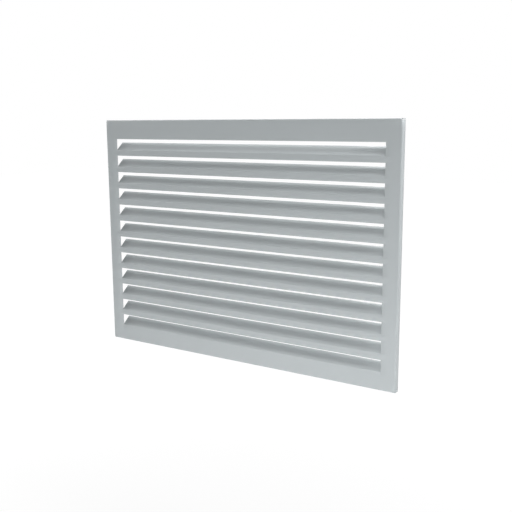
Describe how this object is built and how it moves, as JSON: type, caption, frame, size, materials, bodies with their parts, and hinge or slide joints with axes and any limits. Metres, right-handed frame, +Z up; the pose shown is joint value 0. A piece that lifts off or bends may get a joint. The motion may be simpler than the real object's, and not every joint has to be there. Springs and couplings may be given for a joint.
{
  "type": "louvred sheet metal panel",
  "caption": "Ventilation panel folded from one painted metal sheet, with rows of lanced blades that lean back behind the face and a shallow rim folded back all round.",
  "frame": {"origin": "middle of the bottom fold's rear lower edge, in the plane of the wall that the rim bears on", "axes": "+X along the panel to the right as seen from the front, +Y back into the wall, +Z up"},
  "size_m": [0.35, 0.0102, 0.25],
  "materials": {
    "powder_coat": "satin, fine orange peel"
  },
  "bodies": {
    "root": {"louvred_panel": "powder_coat"}
  },
  "joints": []
}
